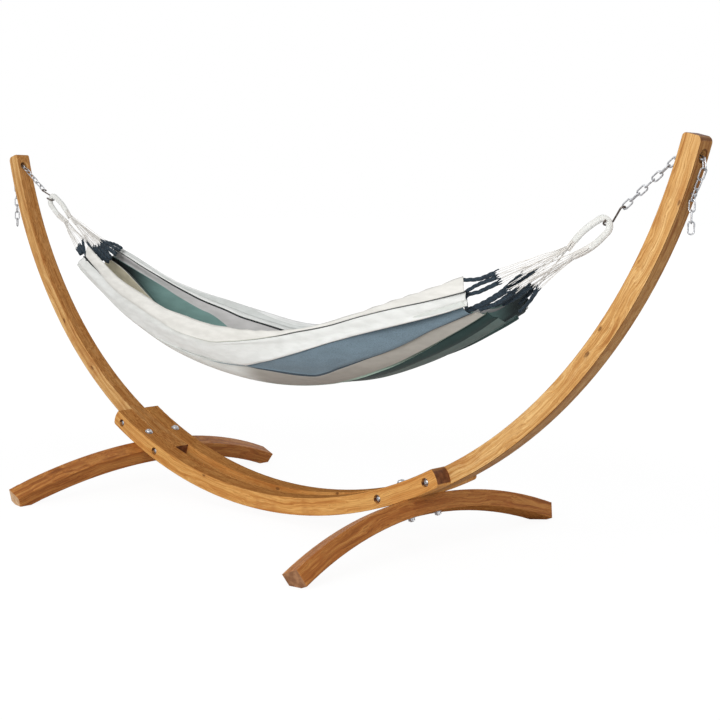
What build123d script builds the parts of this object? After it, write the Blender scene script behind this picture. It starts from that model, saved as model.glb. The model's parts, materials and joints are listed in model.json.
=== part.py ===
"""Hammock on a bent-wood stand, in millimetres.

Frame: the stand's long axis is X, the feet lie along Y, Z is up. The origin is on the floor,
midway between the arm tips and midway between the foot ends. "Slope" is the angle in degrees
between the bow and the floor: 0 at the middle, positive towards +X. "Depth" is measured square
to the bow, outwards from its hollow (upper) face. A "turn" rotates a link or hook about its own
line: 0 puts its width in the XZ plane, 90 puts it along Y.
"""

import os
from math import acos, atan, copysign, cos, degrees, pi, radians, sin

from build123d import *

# Bow: one arc in the middle, a slightly tighter one towards each tip
BOW_CENTRE_Z = 1756.7
BOW_RADIUS = 1672.0
TIP_RADIUS = 1535.0
BLEND_SLOPE = 24.06
BEAM_DEPTH = 58.5
ARRIS_RADIUS = 3.0

# Arms, held between the two side beams
ARM_WIDTH = 60.0
ARM_FOOT_SLOPE = 17.86
ARM_TIP_SLOPE = 75.7
TIP_HOLLOW_CORNER = 11.0
TIP_OUTER_CORNER = 17.0

# Side beams
SIDE_WIDTH = 65.0
SIDE_END_SLOPE = 27.96
SIDE_END_BULGE = 0.25
SIDE_END_CORNER = 12.0
SIDE_MIDDLE_Y = ARM_WIDTH / 2 + SIDE_WIDTH / 2
OUTER_Y = ARM_WIDTH / 2 + SIDE_WIDTH

# Feet: arches set square to the bow, under its joints
FOOT_SLOPE = 22.17
FOOT_WIDTH = 67.5
FOOT_RADIUS = 1557.0
FOOT_DEPTH = 56.0
FOOT_CROWN = 2.9
FOOT_HALF_ANGLE = 22.71
SPOT_FACE_BITE = 0.3
SPOT_FACE_DEPTH = FOOT_DEPTH - FOOT_CROWN + SPOT_FACE_BITE
SPOT_FACE_RADIUS = 16.5

# Clamp bolts, across each joint; the heads and the nuts lie in counterbores
CLAMP_SLOPES = (19.2, 26.5)
CLAMP_BOLT_RADIUS = 5.0
CLAMP_HEAD_RADIUS = 9.0
CLAMP_HEAD_HEIGHT = 6.0
CLAMP_NUT_FLATS = 17.0
CLAMP_BORE_RADIUS = 14.0
CLAMP_HEAD_BORE = 12.0
CLAMP_NUT_BORE = 16.0
CLAMP_WASHER_RADIUS = 12.5

# Foot bolts, down through the side beams and the feet
FOOT_BOLT_RADIUS = 6.0
FOOT_HEAD_RADIUS = 12.0
FOOT_HEAD_HEIGHT = 7.5
FOOT_NUT_FLATS = 19.0
FOOT_WASHER_RADIUS = 14.5
SEAT_GAP = 0.1

# All bolts
WASHER_THICKNESS = 2.0
NUT_HEIGHT = 8.0
BOLT_STAND_OUT = 3.0
BOLT_HOLE_GAP = 0.4
THREAD_GAP = 0.05
HEAD_ROUNDING_SHARE = 0.9
SOCKET_SHARE = 0.5
SOCKET_DEPTH_SHARE = 0.5
SHANK_CHAMFER = 1.0

# Chain of round wire; a link's reach is from its middle to its contact with the next
WIRE_RADIUS = 2.25
LINK_BEND = 7.75
LINK_GAP = 0.35
LINK_PITCH = 28.45
LINK_REACH = LINK_PITCH / 2
LINK_STRAIGHT = LINK_PITCH + LINK_GAP - 2 * (LINK_BEND - WIRE_RADIUS)
HOLE_SLOPE = 73.9
HOLE_RADIUS = 15.0
HOLE_ROUNDING = 6.0

# Fixed links: distance along the hole's axis from its hollow mouth, distance down the arm,
# direction (0 along the hole, 90 down the arm) and turn; the chain tails hang from the last one
HOLE_LINKS = (
    (-3.7, 16.2, -45.2, 90.0),
    (19.6, 3.1, -5.2, 0.0),
    (47.7, 4.1, 6.8, 111.0),
    (67.2, 17.0, 65.2, 36.6),
)
ARM_LINKS = (
    (70.2, 43.4, 95.2, 130.3),
    (67.5, 71.6, 96.0, 19.6),
    (65.5, 99.8, 93.5, 90.0),
)
FIXED_LINKS = {"left": HOLE_LINKS, "right": HOLE_LINKS + ARM_LINKS}
TAIL_TURNS = {"left": (-53, 52, -52, 52, -52, 52, -52), "right": (-10, 60, -31)}

# Pin across the left arm, through the link in the chain hole; its hole is blind at the front
PINNED_LINK = 1
PIN_RADIUS = 2.5
PIN_SHIFT = 6.4
PIN_DEPTH = 50.0

# Screw that holds the last fixed link to the right arm
SCREW_RADIUS = 2.5
SCREW_HEAD_RADIUS = 6.3
SCREW_HEAD_HEIGHT = 3.5
SCREW_HEAD_ROUNDING_SHARE = 0.8
SCREW_LENGTH = 42.0
SCREW_POINT_SHARE = 0.8

# Taut chain and S-hook between the arm and the end loop
PIVOT_SLACK = 1.2
TAUT_FALL = {"left": 33.8, "right": 39.5}
TAUT_TURNS = {"left": (0, 90, 0, 90, 0), "right": (0, 80, -21, 69, -18, 78, -8)}
HOOK_TURN = {"left": 86, "right": 99}
HOOK_WIRE_RADIUS = 2.75
HOOK_SMALL_BEND = 7.5
HOOK_LARGE_BEND = 15.3
HOOK_SPAN = 55.0
HOOK_BEND_ARC = 205.0
HOOK_TIP_RADIUS = 3.5

# Whipped rope end loop, a teardrop
ROPE_RADIUS = 11.0
LOOP_BEND = 22.0
LOOP_LENGTH = 150.0
LOOP_LEG_OFFSET = 13.5
LOOP_FALL = {"left": 35.0, "right": 36.5}
WHIPPING_RADIUS = 12.5
WHIPPING_LENGTH = 12.0

# Clew cords and the heading loops that join them to the cloth
HEADINGS_PER_END = 10
HEADING_RADIUS = 5.0
HEADING_LENGTH = 88.0
HEADING_GAP = 3.0
CORD_RADIUS = 2.0
CORD_OFFSET = 2.2
CLEW_SCALE = 0.24

# Cloth trough: its lowest line is a parabola, its sections are half ellipses square to it
CLOTH_LOW_X = -30.0
CLOTH_LOW_Z = 444.0
CLOTH_BEND = 2.75e-4
CLOTH_REACH = {"left": -1080.0, "right": 977.0}
CLOTH_HALF_WIDTH = 145.0
CLOTH_END_HALF_WIDTH = {"left": 70.0, "right": 85.0}
CLOTH_SAG = 199.0
CLOTH_END_SAG = 153.0
CLOTH_THICKNESS = 6.0
CLOTH_STATIONS = 4

# Cutters are this much larger than what they cut away
CUTTER_SCALE = 2

SIDES = {"left": -1, "right": 1}
FRONT = -1
REAR = 1


def bow_point(slope, depth):
    """X and Z of the bow at a slope and depth."""
    angle = radians(abs(slope))
    shift = 0.0 if abs(slope) <= BLEND_SLOPE else BOW_RADIUS - TIP_RADIUS
    radius = BOW_RADIUS - shift + depth
    x = shift * sin(radians(BLEND_SLOPE)) + radius * sin(angle)
    z = BOW_CENTRE_Z - shift * cos(radians(BLEND_SLOPE)) - radius * cos(angle)
    return copysign(x, slope), z


def bow_plane(slope, depth, y=0.0):
    """Plane lying along the bow: local X towards +X, local Z towards the hollow side."""
    x, z = bow_point(slope, depth)
    along = (cos(radians(slope)), 0, sin(radians(slope)))
    hollow = (-sin(radians(slope)), 0, cos(radians(slope)))
    return Plane(origin=(x, y, z), x_dir=along, z_dir=hollow)


def bow_arcs(first, last, depth):
    """Draw the bow from one slope up to another."""
    blends = [slope for slope in (-BLEND_SLOPE, BLEND_SLOPE) if first < slope < last]
    stops = [first, *blends, last]
    for start, end in zip(stops, stops[1:]):
        middle = (start + end) / 2
        ThreePointArc(bow_point(start, depth), bow_point(middle, depth), bow_point(end, depth))


def round_arrises(beam):
    """Round the edges of a bent beam's two flat sides."""
    flats = beam.faces().filter_by(Axis.Y)
    fillet(flats.edges(), ARRIS_RADIUS)


def clamp_plane(slope, y, facing):
    """Plane across a clamp bolt at a height in the joint, facing the front or the rear."""
    x, z = bow_point(slope, BEAM_DEPTH / 2)
    return Plane(origin=(x, y, z), x_dir=(1, 0, 0), z_dir=(0, facing, 0))


def tip_point(side, outwards, down):
    """Point given by its distances along the chain hole's axis and down the arm."""
    x, z = bow_point(HOLE_SLOPE, 0)
    x += outwards * sin(radians(HOLE_SLOPE)) - down * cos(radians(HOLE_SLOPE))
    z -= outwards * cos(radians(HOLE_SLOPE)) + down * sin(radians(HOLE_SLOPE))
    return Vector(side * x, 0, z)


def line_plane(side, point, run, turn):
    """Plane of a link or hook: local X along its line, local Y across it, turned about the line."""
    along = run.normalized()
    outward = Vector(-along.Z, 0, along.X) * side
    across = outward * cos(radians(turn)) - Vector(0, 1, 0) * sin(radians(turn))
    return Plane(origin=point, x_dir=along, z_dir=along.cross(across))


def fall_run(side, fall):
    """Direction of a line that falls from an arm's tip towards the middle."""
    return Vector(-side * cos(radians(fall)), 0, -sin(radians(fall)))


def copies(part, planes):
    """One node holding a copy of a part on each plane."""
    with BuildPart() as group:
        with Locations(*planes):
            add(part)
    return group


def make_side_beam(facing):
    """Side beam with its clamp bolt holes and foot bolt holes."""
    bore_depth = CLAMP_HEAD_BORE if facing == FRONT else CLAMP_NUT_BORE
    with BuildPart() as beam:
        with BuildSketch(Plane.XZ.offset(-facing * SIDE_MIDDLE_Y)) as profile:
            with BuildLine():
                bow_arcs(-SIDE_END_SLOPE, SIDE_END_SLOPE, 0)
                bow_arcs(-SIDE_END_SLOPE, SIDE_END_SLOPE, BEAM_DEPTH)
                for side in SIDES.values():
                    end = side * SIDE_END_SLOPE
                    bulge = side * (SIDE_END_SLOPE + SIDE_END_BULGE)
                    ThreePointArc(
                        bow_point(end, 0),
                        bow_point(bulge, BEAM_DEPTH / 2),
                        bow_point(end, BEAM_DEPTH),
                    )
            make_face()
            for side in SIDES.values():
                corner = Vector(*bow_point(side * SIDE_END_SLOPE, BEAM_DEPTH))
                fillet(profile.vertices().sort_by_distance(corner)[0], SIDE_END_CORNER)
        extrude(amount=SIDE_WIDTH / 2, both=True)
        round_arrises(beam)
        for side in SIDES.values():
            clamps = [clamp_plane(side * slope, facing * OUTER_Y, facing) for slope in CLAMP_SLOPES]
            with Locations(*clamps):
                CounterBoreHole(CLAMP_BOLT_RADIUS + BOLT_HOLE_GAP, CLAMP_BORE_RADIUS, bore_depth)
            with Locations(bow_plane(side * FOOT_SLOPE, 0, facing * SIDE_MIDDLE_Y)):
                Hole(FOOT_BOLT_RADIUS + BOLT_HOLE_GAP)
    return beam


def make_arm(side, name):
    """Arm with its clamp bolt holes, its chain hole and the hole for its chain's pin or screw."""
    first, last = sorted((side * ARM_FOOT_SLOPE, side * ARM_TIP_SLOPE))
    with BuildPart() as arm:
        with BuildSketch(Plane.XZ) as profile:
            with BuildLine():
                bow_arcs(first, last, 0)
                bow_arcs(first, last, BEAM_DEPTH)
                Line(bow_point(first, 0), bow_point(first, BEAM_DEPTH))
                Line(bow_point(last, 0), bow_point(last, BEAM_DEPTH))
            make_face()
            for depth, radius in ((0, TIP_HOLLOW_CORNER), (BEAM_DEPTH, TIP_OUTER_CORNER)):
                corner = Vector(*bow_point(side * ARM_TIP_SLOPE, depth))
                fillet(profile.vertices().sort_by_distance(corner)[0], radius)
        extrude(amount=ARM_WIDTH / 2, both=True)
        round_arrises(arm)
        with Locations(*[clamp_plane(side * slope, REAR * OUTER_Y, REAR) for slope in CLAMP_SLOPES]):
            Hole(CLAMP_BOLT_RADIUS + BOLT_HOLE_GAP)
        with Locations(bow_plane(side * HOLE_SLOPE, 0)):
            Hole(HOLE_RADIUS, CUTTER_SCALE * BEAM_DEPTH)
        fillet(arm.edges(Select.LAST), HOLE_ROUNDING)
        if name == "left":
            place, radius, depth = pin_plane(), PIN_RADIUS, PIN_DEPTH
        else:
            place, radius, depth = screw_plane(), SCREW_RADIUS, SCREW_LENGTH
        with Locations(place):
            Cylinder(
                radius + THREAD_GAP,
                depth,
                align=(Align.CENTER, Align.CENTER, Align.MAX),
                mode=Mode.SUBTRACT,
            )
    return arm


def make_foot(side):
    """Arched foot with its beam seat, its two ground soles and its bolt holes."""
    axis = bow_plane(side * FOOT_SLOPE, BEAM_DEPTH)
    foot_plane = Plane(origin=axis.origin, x_dir=(0, 1, 0), z_dir=axis.x_dir)
    outer_centre = FOOT_CROWN - FOOT_RADIUS
    inner_radius = FOOT_RADIUS - FOOT_DEPTH
    start = 90 - FOOT_HALF_ANGLE
    with BuildPart() as foot:
        with BuildSketch(foot_plane):
            with BuildLine():
                outer = CenterArc((0, outer_centre), FOOT_RADIUS, start, 2 * FOOT_HALF_ANGLE)
                inner = CenterArc((0, outer_centre), inner_radius, start, 2 * FOOT_HALF_ANGLE)
                Line(outer @ 0, inner @ 0)
                Line(outer @ 1, inner @ 1)
            make_face()
        extrude(amount=FOOT_WIDTH / 2, both=True)
        flats = foot.faces().filter_by(foot_plane)
        fillet(flats.edges(), ARRIS_RADIUS)
        with Locations(axis):
            Box(
                CUTTER_SCALE * FOOT_WIDTH,
                2 * OUTER_Y + FOOT_WIDTH,
                CUTTER_SCALE * 2 * FOOT_CROWN,
                align=(Align.CENTER, Align.CENTER, Align.MIN),
                mode=Mode.SUBTRACT,
            )
        split(bisect_by=Plane.XY, keep=Keep.TOP)
        for facing in (FRONT, REAR):
            bolt_y = facing * SIDE_MIDDLE_Y
            with Locations(bow_plane(side * FOOT_SLOPE, BEAM_DEPTH, bolt_y)):
                Hole(FOOT_BOLT_RADIUS + BOLT_HOLE_GAP, CUTTER_SCALE * FOOT_DEPTH)
            with Locations(bow_plane(side * FOOT_SLOPE, BEAM_DEPTH + SPOT_FACE_DEPTH, bolt_y)):
                Cylinder(
                    SPOT_FACE_RADIUS,
                    FOOT_DEPTH,
                    align=(Align.CENTER, Align.CENTER, Align.MAX),
                    mode=Mode.SUBTRACT,
                )
    return foot


def make_bolt(shank_radius, shank_length, head_radius, head_height):
    """Domed socket bolt: the head stands on the XY plane, the shank goes down."""
    with BuildPart() as bolt:
        Cylinder(head_radius, head_height, align=(Align.CENTER, Align.CENTER, Align.MIN))
        fillet(bolt.edges().sort_by(Axis.Z)[-1], HEAD_ROUNDING_SHARE * head_height)
        with BuildSketch(Plane.XY.offset(head_height)):
            RegularPolygon(SOCKET_SHARE * shank_radius, 6, major_radius=False)
        extrude(amount=-SOCKET_DEPTH_SHARE * head_height, mode=Mode.SUBTRACT)
        Cylinder(shank_radius, shank_length, align=(Align.CENTER, Align.CENTER, Align.MAX))
        chamfer(bolt.edges().sort_by(Axis.Z)[0], SHANK_CHAMFER)
    return bolt.part


def make_washer(radius, bore_radius):
    """Flat washer standing on the XY plane."""
    with BuildPart() as washer:
        Cylinder(radius, WASHER_THICKNESS, align=(Align.CENTER, Align.CENTER, Align.MIN))
        Hole(bore_radius + BOLT_HOLE_GAP)
    return washer.part


def make_nut(flats, bore_radius):
    """Hexagon nut standing on the XY plane."""
    with BuildPart() as nut:
        with BuildSketch():
            RegularPolygon(flats / 2, 6, major_radius=False)
        extrude(amount=NUT_HEIGHT)
        Hole(bore_radius + THREAD_GAP)
    return nut.part


def make_link():
    """Chain link lying in the XY plane, its long way along X."""
    half = LINK_STRAIGHT / 2
    with BuildPart() as link:
        with BuildLine() as path:
            Line((-half, LINK_BEND), (half, LINK_BEND))
            CenterArc((half, 0), LINK_BEND, 90, -180)
            Line((half, -LINK_BEND), (-half, -LINK_BEND))
            CenterArc((-half, 0), LINK_BEND, 270, -180)
        with BuildSketch(Plane.YZ) as wire:
            with Locations((LINK_BEND, 0)):
                Circle(WIRE_RADIUS)
        sweep(wire.sketch, path=path.wires()[0])
    return link.part


def fixed_link_planes(side, name):
    """Planes of the links that go over the rim, through the hole and down the arm."""
    planes = []
    for outwards, down, direction, turn in FIXED_LINKS[name]:
        middle = tip_point(side, outwards, down)
        ahead = (outwards + cos(radians(direction)), down + sin(radians(direction)))
        planes.append(line_plane(side, middle, tip_point(side, *ahead) - middle, turn))
    return planes


def tail_hinge(side, name):
    """Middle of the wire that a chain tail hangs from."""
    last = fixed_link_planes(side, name)[-1]
    return last.origin + last.x_dir * (LINK_STRAIGHT / 2 + LINK_BEND)


def tail_link_planes(side, name):
    """Planes of the links that hang plumb below the last fixed link."""
    down = Vector(0, 0, -1)
    first = tail_hinge(side, name) - down * (2 * WIRE_RADIUS + LINK_GAP) / 2
    return [
        line_plane(side, first + down * (index + 0.5) * LINK_PITCH, down, turn)
        for index, turn in enumerate(TAIL_TURNS[name])
    ]


def pin_plane():
    """Plane across the pin, on the left arm's rear face."""
    pinned = fixed_link_planes(SIDES["left"], "left")[PINNED_LINK]
    middle = pinned.origin + pinned.x_dir * PIN_SHIFT
    return Plane(origin=(middle.X, ARM_WIDTH / 2, middle.Z), z_dir=(0, 1, 0))


def make_pin():
    """Plain pin, flush with the arm's rear face."""
    with BuildPart() as pin:
        with Locations(pin_plane()):
            Cylinder(PIN_RADIUS, PIN_DEPTH, align=(Align.CENTER, Align.CENTER, Align.MAX))
    return pin


def screw_plane():
    """Plane in the middle of the last fixed link of the right arm, facing out along its screw."""
    last = fixed_link_planes(SIDES["right"], "right")[-1]
    return Plane(origin=last.origin, z_dir=Vector(-last.x_dir.Z, 0, last.x_dir.X))


def make_screw():
    """Round-headed screw: XY is the middle plane of the link that it holds."""
    with BuildPart() as screw:
        with Locations((0, 0, WIRE_RADIUS + THREAD_GAP)):
            Cylinder(SCREW_HEAD_RADIUS, SCREW_HEAD_HEIGHT, align=(Align.CENTER, Align.CENTER, Align.MIN))
        fillet(screw.edges().sort_by(Axis.Z)[-1], SCREW_HEAD_ROUNDING_SHARE * SCREW_HEAD_HEIGHT)
        with Locations((0, 0, WIRE_RADIUS + THREAD_GAP)):
            Cylinder(SCREW_RADIUS, SCREW_LENGTH, align=(Align.CENTER, Align.CENTER, Align.MAX))
        chamfer(screw.edges().sort_by(Axis.Z)[0], SCREW_POINT_SHARE * SCREW_RADIUS)
    return screw.part


def swing_point(side, name):
    """Contact of the first fixed link with the taut chain: the swing axis passes through it."""
    first = fixed_link_planes(side, name)[0]
    return first.origin - first.x_dir * LINK_REACH


def taut_start(side, name):
    """Start of the taut chain, a little slack past the swing axis, and its direction."""
    run = fall_run(side, TAUT_FALL[name])
    return swing_point(side, name) - run * PIVOT_SLACK, run


def taut_link_planes(side, name):
    """Planes of the taut chain's links."""
    start, run = taut_start(side, name)
    return [
        line_plane(side, start + run * (index + 0.5) * LINK_PITCH, run, turn)
        for index, turn in enumerate(TAUT_TURNS[name])
    ]


def hook_plane(side, name):
    """Plane of the S-hook, its origin at the middle of the small bend."""
    start, run = taut_start(side, name)
    chain_length = len(TAUT_TURNS[name]) * LINK_PITCH
    seat = HOOK_SMALL_BEND - HOOK_WIRE_RADIUS - LINK_GAP / 2
    return line_plane(side, start + run * (chain_length + seat), run, HOOK_TURN[name])


def make_s_hook(plane):
    """S-hook: a small bend for the chain, a large one for the end loop, a knob at each tip."""
    lean = degrees(acos((HOOK_SMALL_BEND + HOOK_LARGE_BEND) / HOOK_SPAN))
    with BuildPart() as hook:
        with BuildLine(plane) as path:
            small = CenterArc((0, 0), HOOK_SMALL_BEND, lean, HOOK_BEND_ARC)
            large = CenterArc((HOOK_SPAN, 0), HOOK_LARGE_BEND, lean + 180, HOOK_BEND_ARC)
            Line(small @ 0, large @ 0)
        with BuildSketch(Plane(origin=small @ 1, z_dir=small % 1)):
            Circle(HOOK_WIRE_RADIUS)
        sweep(path=path.wires()[0])
        for bend in (small, large):
            with Locations(Plane(origin=bend @ 1, z_dir=bend % 1)):
                Sphere(HOOK_TIP_RADIUS)
    return hook


def loop_plane(side, name):
    """Plane of the rope end loop, its origin at the middle of the rope in the S-hook."""
    hook = hook_plane(side, name)
    seat = HOOK_SPAN + HOOK_LARGE_BEND - HOOK_WIRE_RADIUS - ROPE_RADIUS - LINK_GAP
    return line_plane(side, hook.origin + hook.x_dir * seat, fall_run(side, LOOP_FALL[name]), 0)


def loop_leg():
    """Where a leg leaves the loop's bend and where it ends, in the loop's plane."""
    end = Vector(LOOP_LENGTH, LOOP_LEG_OFFSET)
    reach = end - Vector(LOOP_BEND, 0)
    angle = degrees(acos(LOOP_BEND / reach.length)) + degrees(atan(reach.Y / reach.X))
    return angle, end


def make_end_loop(plane):
    """Teardrop of thick rope with its two legs side by side."""
    angle, end = loop_leg()
    with BuildPart() as loop:
        with BuildLine(plane) as path:
            bend = CenterArc((LOOP_BEND, 0), LOOP_BEND, angle, 360 - 2 * angle)
            upper = Line((end.X, end.Y), bend @ 0)
            Line(bend @ 1, (end.X, -end.Y))
        with BuildSketch(Plane(origin=upper @ 0, z_dir=upper % 0)):
            Circle(ROPE_RADIUS)
        sweep(path=path.wires()[0])
    return loop


def make_whippings(plane):
    """Two collars round the ends of the loop's legs."""
    angle, end = loop_leg()
    bend_point = Vector(LOOP_BEND + LOOP_BEND * cos(radians(angle)), LOOP_BEND * sin(radians(angle)))
    with BuildPart() as whippings:
        for way in (1, -1):
            end_point = plane.from_local_coords((end.X, way * end.Y, 0))
            start_point = plane.from_local_coords((bend_point.X, way * bend_point.Y, 0))
            with Locations(Plane(origin=end_point, z_dir=start_point - end_point)):
                Cylinder(WHIPPING_RADIUS, WHIPPING_LENGTH, align=(Align.CENTER, Align.CENTER, Align.MIN))
                Cylinder(
                    ROPE_RADIUS + THREAD_GAP,
                    CUTTER_SCALE * WHIPPING_LENGTH,
                    align=(Align.CENTER, Align.CENTER, Align.CENTER),
                    mode=Mode.SUBTRACT,
                )
    return whippings


def cloth_section(name, share):
    """Section plane of the cloth with its half width and sag, a share of the way to one end."""
    x = CLOTH_LOW_X + share * (CLOTH_REACH[name] - CLOTH_LOW_X)
    z = CLOTH_LOW_Z + CLOTH_BEND * (x - CLOTH_LOW_X) ** 2
    slope = atan(2 * CLOTH_BEND * (x - CLOTH_LOW_X))
    half_width = CLOTH_HALF_WIDTH + share**2 * (CLOTH_END_HALF_WIDTH[name] - CLOTH_HALF_WIDTH)
    sag = CLOTH_SAG + share**2 * (CLOTH_END_SAG - CLOTH_SAG)
    edge = Vector(x - sag * sin(slope), 0, z + sag * cos(slope))
    return Plane(origin=edge, x_dir=(0, 1, 0), z_dir=(cos(slope), 0, sin(slope))), half_width, sag


def make_cloth():
    """Cloth hanging as a trough between its two gathered ends."""
    shares = [("left", 1 - step / CLOTH_STATIONS) for step in range(CLOTH_STATIONS)]
    shares += [("right", step / CLOTH_STATIONS) for step in range(CLOTH_STATIONS + 1)]
    with BuildPart() as cloth:
        for name, share in shares:
            plane, half_width, sag = cloth_section(name, share)
            with BuildSketch(plane):
                with BuildLine():
                    outer = EllipticalCenterArc((0, 0), half_width, sag, 180, arc_size=180)
                    inner = EllipticalCenterArc(
                        (0, 0),
                        half_width - CLOTH_THICKNESS,
                        sag - CLOTH_THICKNESS,
                        180,
                        arc_size=180,
                    )
                    Line(outer @ 0, inner @ 0)
                    Line(outer @ 1, inner @ 1)
                make_face()
        loft()
    return cloth


def heading_lines(side, name):
    """Start and end of each line from the cloth's end to the end loop."""
    section, half_width, sag = cloth_section(name, 1)
    loop = loop_plane(side, name)
    lines = []
    for index in range(HEADINGS_PER_END):
        angle = pi * (index + 0.5) / HEADINGS_PER_END
        y = (half_width - CLOTH_THICKNESS / 2) * cos(angle)
        drop = (sag - CLOTH_THICKNESS / 2) * sin(angle)
        start = section.from_local_coords((y, -drop, 0))
        inward = loop.x_dir.cross(Vector(0, 1, 0))
        upward = inward if inward.Z > 0 else inward * -1
        end = loop.origin + loop.x_dir * (LOOP_LENGTH + HEADING_GAP)
        end += Vector(0, y, 0) * CLEW_SCALE + upward * (sag / 2 - drop) * CLEW_SCALE
        lines.append((start, end))
    return lines


def make_headings(side, name):
    """Thick loops on the cloth's end, one for each pair of clew cords."""
    with BuildPart() as headings:
        for start, end in heading_lines(side, name):
            run = (end - start).normalized()
            with Locations(Plane(origin=start + run * HEADING_GAP, z_dir=run)):
                Cylinder(HEADING_RADIUS, HEADING_LENGTH, align=(Align.CENTER, Align.CENTER, Align.MIN))
    return headings


def make_clew_cords(side, name):
    """Taut cords from the headings to the end loop, two for each heading."""
    with BuildPart() as cords:
        for start, end in heading_lines(side, name):
            run = (end - start).normalized()
            beside = run.cross(Vector(0, 1, 0)).normalized()
            length = (end - start).length - HEADING_GAP - HEADING_LENGTH
            for way in (1, -1):
                foot = start + run * (HEADING_GAP + HEADING_LENGTH) + beside * way * CORD_OFFSET
                with Locations(Plane(origin=foot, z_dir=run)):
                    Cylinder(CORD_RADIUS, length, align=(Align.CENTER, Align.CENTER, Align.MIN))
    return cords


link = make_link()
past_nut = NUT_HEIGHT + BOLT_STAND_OUT
clamp_grip = 2 * OUTER_Y - CLAMP_HEAD_BORE - CLAMP_NUT_BORE + 2 * WASHER_THICKNESS
clamp_bolt = make_bolt(CLAMP_BOLT_RADIUS, clamp_grip + past_nut, CLAMP_HEAD_RADIUS, CLAMP_HEAD_HEIGHT)
clamp_washer = make_washer(CLAMP_WASHER_RADIUS, CLAMP_BOLT_RADIUS)
clamp_nut = make_nut(CLAMP_NUT_FLATS, CLAMP_BOLT_RADIUS)
foot_grip = BEAM_DEPTH + SPOT_FACE_DEPTH + 2 * WASHER_THICKNESS + SEAT_GAP
foot_bolt = make_bolt(FOOT_BOLT_RADIUS, foot_grip + past_nut, FOOT_HEAD_RADIUS, FOOT_HEAD_HEIGHT)
foot_washer = make_washer(FOOT_WASHER_RADIUS, FOOT_BOLT_RADIUS)
foot_nut = make_nut(FOOT_NUT_FLATS, FOOT_BOLT_RADIUS)

nodes = {
    "front_side_beam": make_side_beam(FRONT),
    "rear_side_beam": make_side_beam(REAR),
    "hammock_cloth": make_cloth(),
    "left_chain_pin": make_pin(),
    "right_chain_screw": copies(make_screw(), [screw_plane()]),
}
front_floor = OUTER_Y - CLAMP_HEAD_BORE
rear_floor = OUTER_Y - CLAMP_NUT_BORE
for name, side in SIDES.items():
    clamps = [side * slope for slope in CLAMP_SLOPES]
    foot_slope = side * FOOT_SLOPE
    bolt_rows = (-SIDE_MIDDLE_Y, SIDE_MIDDLE_Y)
    below = BEAM_DEPTH + SPOT_FACE_DEPTH + WASHER_THICKNESS
    nodes[f"{name}_arm"] = make_arm(side, name)
    nodes[f"{name}_foot"] = make_foot(side)
    nodes[f"{name}_clamp_bolts"] = copies(
        clamp_bolt, [clamp_plane(slope, -front_floor - WASHER_THICKNESS, FRONT) for slope in clamps]
    )
    nodes[f"{name}_clamp_washers"] = copies(
        clamp_washer,
        [clamp_plane(slope, -front_floor, FRONT) for slope in clamps]
        + [clamp_plane(slope, rear_floor, REAR) for slope in clamps],
    )
    nodes[f"{name}_clamp_nuts"] = copies(
        clamp_nut, [clamp_plane(slope, rear_floor + WASHER_THICKNESS, REAR) for slope in clamps]
    )
    nodes[f"{name}_foot_bolts"] = copies(
        foot_bolt, [bow_plane(foot_slope, -SEAT_GAP - WASHER_THICKNESS, y) for y in bolt_rows]
    )
    nodes[f"{name}_foot_washers"] = copies(
        foot_washer,
        [bow_plane(foot_slope, depth, y) for y in bolt_rows for depth in (-SEAT_GAP, below)],
    )
    nodes[f"{name}_foot_nuts"] = copies(
        foot_nut, [bow_plane(foot_slope, below + NUT_HEIGHT, y) for y in bolt_rows]
    )
    nodes[f"{name}_chain_fixed"] = copies(link, fixed_link_planes(side, name))
    nodes[f"{name}_chain_tail"] = copies(link, tail_link_planes(side, name))
    nodes[f"{name}_chain_taut"] = copies(link, taut_link_planes(side, name))
    nodes[f"{name}_s_hook"] = make_s_hook(hook_plane(side, name))
    nodes[f"{name}_end_loop"] = make_end_loop(loop_plane(side, name))
    nodes[f"{name}_whippings"] = make_whippings(loop_plane(side, name))
    nodes[f"{name}_headings"] = make_headings(side, name)
    nodes[f"{name}_clew_cords"] = make_clew_cords(side, name)

os.makedirs("parts", exist_ok=True)
for name, node in nodes.items():
    node.part.label = name
    export_step(node.part, f"parts/{name}.step")
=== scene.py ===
"""Hammock on a bowed wooden stand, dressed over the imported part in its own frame, in metres."""

import json
from functools import partial
from math import atan, cos, hypot, pi, radians, sin, sqrt

import bpy
import numpy as np
from mathutils import Matrix, Vector

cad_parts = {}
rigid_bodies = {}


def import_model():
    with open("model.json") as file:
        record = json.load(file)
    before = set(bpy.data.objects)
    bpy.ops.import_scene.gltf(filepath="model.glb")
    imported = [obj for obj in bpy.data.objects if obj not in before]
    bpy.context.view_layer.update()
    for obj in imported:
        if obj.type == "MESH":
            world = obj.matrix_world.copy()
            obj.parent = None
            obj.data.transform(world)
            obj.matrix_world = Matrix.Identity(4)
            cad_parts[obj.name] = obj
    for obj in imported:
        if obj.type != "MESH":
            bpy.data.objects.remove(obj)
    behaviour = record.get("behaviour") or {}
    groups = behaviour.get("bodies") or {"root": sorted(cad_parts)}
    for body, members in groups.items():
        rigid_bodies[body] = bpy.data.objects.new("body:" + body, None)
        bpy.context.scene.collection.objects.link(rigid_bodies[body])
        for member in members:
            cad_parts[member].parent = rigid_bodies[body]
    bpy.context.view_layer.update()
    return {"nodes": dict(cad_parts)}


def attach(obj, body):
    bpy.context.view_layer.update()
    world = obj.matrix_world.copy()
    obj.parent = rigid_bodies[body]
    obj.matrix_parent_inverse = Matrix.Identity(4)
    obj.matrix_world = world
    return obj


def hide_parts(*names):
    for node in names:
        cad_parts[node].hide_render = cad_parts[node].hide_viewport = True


MM = 0.001
SIDES = (("left", -1), ("right", 1))
X, Y, DOWN = Vector((1, 0, 0)), Vector((0, 1, 0)), Vector((0, 0, -1))
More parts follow.
